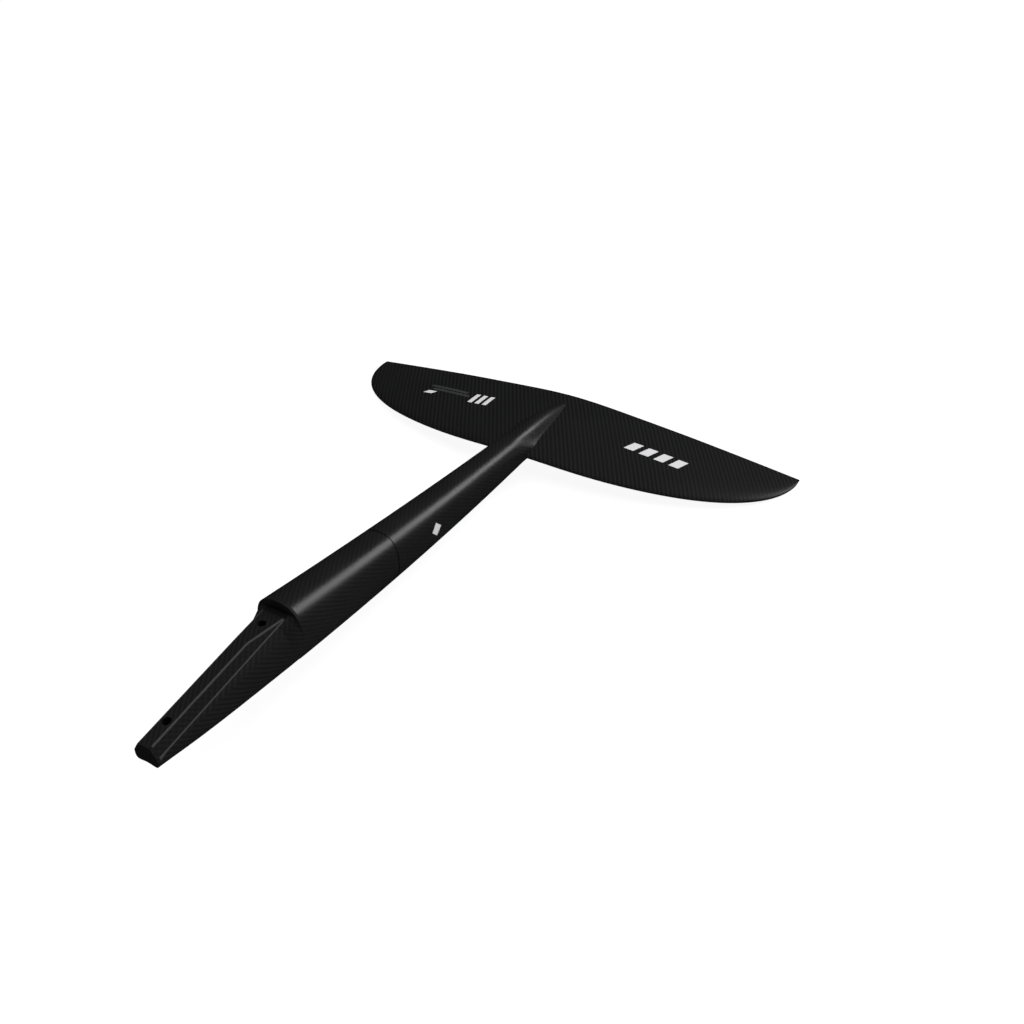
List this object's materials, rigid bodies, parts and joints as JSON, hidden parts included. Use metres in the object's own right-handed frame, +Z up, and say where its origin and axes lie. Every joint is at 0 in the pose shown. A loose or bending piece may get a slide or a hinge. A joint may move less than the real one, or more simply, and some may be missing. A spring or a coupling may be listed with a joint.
{
  "type": "hydrofoil tail wing",
  "caption": "Moulded hydrofoil tail: swept stabiliser wing blended onto a slim rear fuselage with a tapered plug-in tongue and two upright screw bores.",
  "frame": {"origin": "centre of the rear screw bore where it opens on the level seat of the tongue", "axes": "+X forward along the tongue, +Y to port, +Z up along the screw bores"},
  "size_m": [0.3134, 0.258, 0.0401],
  "materials": {
    "carbon_wing": "satin black carbon twill laminate",
    "carbon_fuselage": "satin black carbon laminate",
    "carbon_tongue": "matte black laminate, worn pale along the bevel edges",
    "carbon_inner": "unidirectional carbon laminate, sealed inside",
    "cut_laminate": "matte cut laminate",
    "resin_bead": "dark resin",
    "foam": "closed-cell foam, sealed inside",
    "sleeve_steel": "stainless steel"
  },
  "bodies": {
    "root": {"front_fuselage_core": "foam", "front_fuselage_shell": "carbon_fuselage", "front_screw_sleeve": "sleeve_steel", "joint_bead": "resin_bead", "joint_spigot": "carbon_inner", "rear_fuselage_core": "foam", "rear_fuselage_shell": "carbon_fuselage", "rear_screw_sleeve": "sleeve_steel", "step_plate": "cut_laminate", "tongue_bar": "carbon_inner", "tongue_key": "carbon_tongue", "wing_aft_core_port": "foam", "wing_aft_core_starboard": "foam", "wing_fore_core_port": "foam", "wing_fore_core_starboard": "foam", "wing_lower_skin": "carbon_wing", "wing_spar": "carbon_inner", "wing_tip_block_port": "carbon_wing", "wing_tip_block_starboard": "carbon_wing", "wing_trailing_strip": "carbon_wing", "wing_upper_skin": "carbon_wing"}
  },
  "joints": []
}
